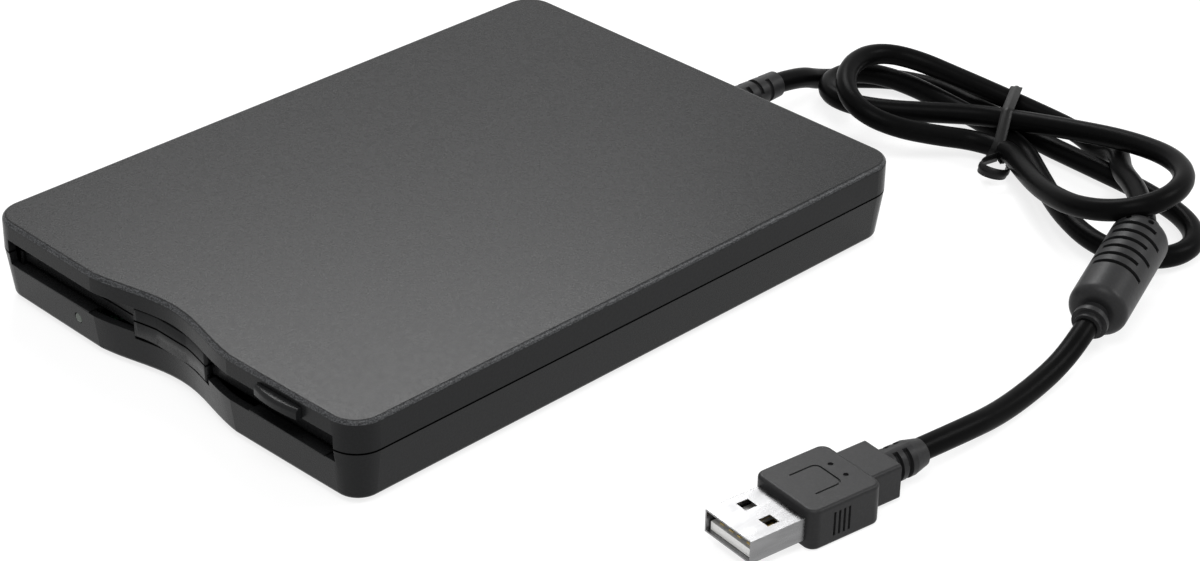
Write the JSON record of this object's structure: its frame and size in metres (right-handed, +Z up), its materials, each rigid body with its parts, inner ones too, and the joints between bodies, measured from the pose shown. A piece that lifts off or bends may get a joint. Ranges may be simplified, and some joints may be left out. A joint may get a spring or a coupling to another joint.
{
  "type": "external floppy disk drive",
  "caption": "Slim external drive for 3.5-inch floppy disks with a slot and sprung dust door, eject button, disk loading mechanism and a tied USB cord.",
  "frame": {"origin": "under the middle of the drive, level with the soles of its feet", "axes": "+X to the right seen from the front, +Y from the front with the slot to the back with the cord, +Z up"},
  "size_m": [0.1669, 0.2034, 0.0176],
  "materials": {
    "case_plastic": "satin",
    "feet_rubber": "matte",
    "cord_pvc": "satin",
    "tie_plastic": "satin",
    "light_pipe": "smoked",
    "chip_plastic": "matte",
    "board_laminate": "satin",
    "sheet_steel": "zinc plated",
    "bright_steel": "nickel plated",
    "copper_winding": "enamelled wire",
    "magnet_ferrite": "matte",
    "bearing_brass": "plain",
    "frame_resin": "matte",
    "ribbon_film": "thin film",
    "plug_tongue_white": "plain"
  },
  "bodies": {
    "case": {"top_cover": "case_plastic", "bottom_cover": "case_plastic", "rubber_feet": "feet_rubber", "case_screws": "bright_steel", "slot_bezel": "case_plastic", "activity_light_pipe": "light_pipe", "activity_led": "chip_plastic", "motor_board": "board_laminate", "stator_coils": "copper_winding", "spindle_bearing": "bearing_brass", "chassis": "sheet_steel", "mechanism_screws": "bright_steel", "top_shield": "sheet_steel", "eject_springs": "bright_steel", "guide_rail": "bright_steel", "rail_clips": "frame_resin", "screw_bearing": "frame_resin", "stepper_motor": "bright_steel", "stepper_bracket": "sheet_steel", "track_zero_sensor": "chip_plastic", "disk_switches": "chip_plastic", "control_board": "board_laminate", "usb_board": "board_laminate", "usb_board_parts": "chip_plastic", "cable_header": "chip_plastic", "flat_cable": "ribbon_film", "strain_relief": "cord_pvc", "cord_lead": "cord_pvc", "cord_hank": "cord_pvc", "cord_tie": "tie_plastic", "cord_core_lead": "cord_pvc", "ferrite_core": "cord_pvc", "cord_plug_lead": "cord_pvc", "plug_overmould": "cord_pvc", "plug_shell": "bright_steel", "plug_tongue": "plug_tongue_white", "plug_contacts": "bearing_brass"},
    "door": {"dust_door": "case_plastic"},
    "slide": {"slide_plate": "sheet_steel", "eject_button": "case_plastic"},
    "carrier": {"disk_carrier": "sheet_steel", "carrier_pins": "bright_steel", "shutter_lever_pivot": "bright_steel", "shutter_spring": "bright_steel"},
    "lever": {"shutter_lever": "sheet_steel"},
    "carriage": {"head_carriage": "frame_resin", "screw_follower": "frame_resin", "lower_head": "magnet_ferrite", "arm_hinge_pin": "bright_steel"},
    "arm": {"upper_head_arm": "sheet_steel", "upper_head": "magnet_ferrite"},
    "screw": {"lead_screw": "bright_steel"},
    "spindle": {"rotor_magnet": "magnet_ferrite", "rotor_yoke": "sheet_steel", "spindle_hub": "frame_resin", "spindle_shaft": "bright_steel", "drive_pin": "bright_steel"},
    "write_protect_sensor": {"write_protect_plunger": "chip_plastic"},
    "density_sensor": {"density_plunger": "chip_plastic"}
  },
  "joints": [
    {"name": "eject_slide", "type": "slide", "parent": "case", "child": "slide", "axis": [0, -1, 0], "range_m": [0, 0.006]},
    {"name": "carrier_drop", "type": "slide", "parent": "case", "child": "carrier", "axis": [0, 0, -1], "range_m": [0, 0.0022]},
    {"name": "shutter_lever_swing", "type": "hinge", "parent": "carrier", "child": "lever", "pos_m": [-0.034, 0.014, 0.0143], "axis": [0, 0, 1], "range_deg": [0, 34], "stiffness_Nm_per_rad": 0.0004, "springref_deg": -17.19},
    {"name": "dust_door_swing", "type": "hinge", "parent": "case", "child": "door", "pos_m": [0, -0.0673, 0.0131], "axis": [1, 0, 0], "range_deg": [0, 78], "stiffness_Nm_per_rad": 0.0004, "springref_deg": -17.19},
    {"name": "head_travel", "type": "slide", "parent": "case", "child": "carriage", "axis": [0, -1, 0], "range_m": [0, 0.0148]},
    {"name": "lead_screw_spin", "type": "hinge", "parent": "case", "child": "screw", "pos_m": [0.0095, 0.04, 0.0098], "axis": [0, 1, 0], "range_deg": [0, 1425]},
    {"name": "head_arm_tilt", "type": "hinge", "parent": "carriage", "child": "arm", "pos_m": [0, 0.047, 0.0104], "axis": [1, 0, 0], "range_deg": [0, 10]},
    {"name": "spindle_spin", "type": "hinge", "parent": "case", "child": "spindle", "pos_m": [0, -0.019, 0.0065], "axis": [0, 0, 1], "continuous": true},
    {"name": "write_protect_press", "type": "slide", "parent": "case", "child": "write_protect_sensor", "axis": [0, 0, -1], "range_m": [0, 0.0008], "stiffness_N_per_m": 60, "springref_m": -0.0005},
    {"name": "density_press", "type": "slide", "parent": "case", "child": "density_sensor", "axis": [0, 0, -1], "range_m": [0, 0.0008], "stiffness_N_per_m": 60, "springref_m": -0.0005}
  ],
  "couplings": [
    {"joint": "carrier_drop", "follows": "eject_slide", "ratio": 0.3666},
    {"joint": "head_arm_tilt", "follows": "eject_slide", "rad_per_m": 29.08},
    {"joint": "lead_screw_spin", "follows": "head_travel", "rad_per_m": 1675.5}
  ]
}
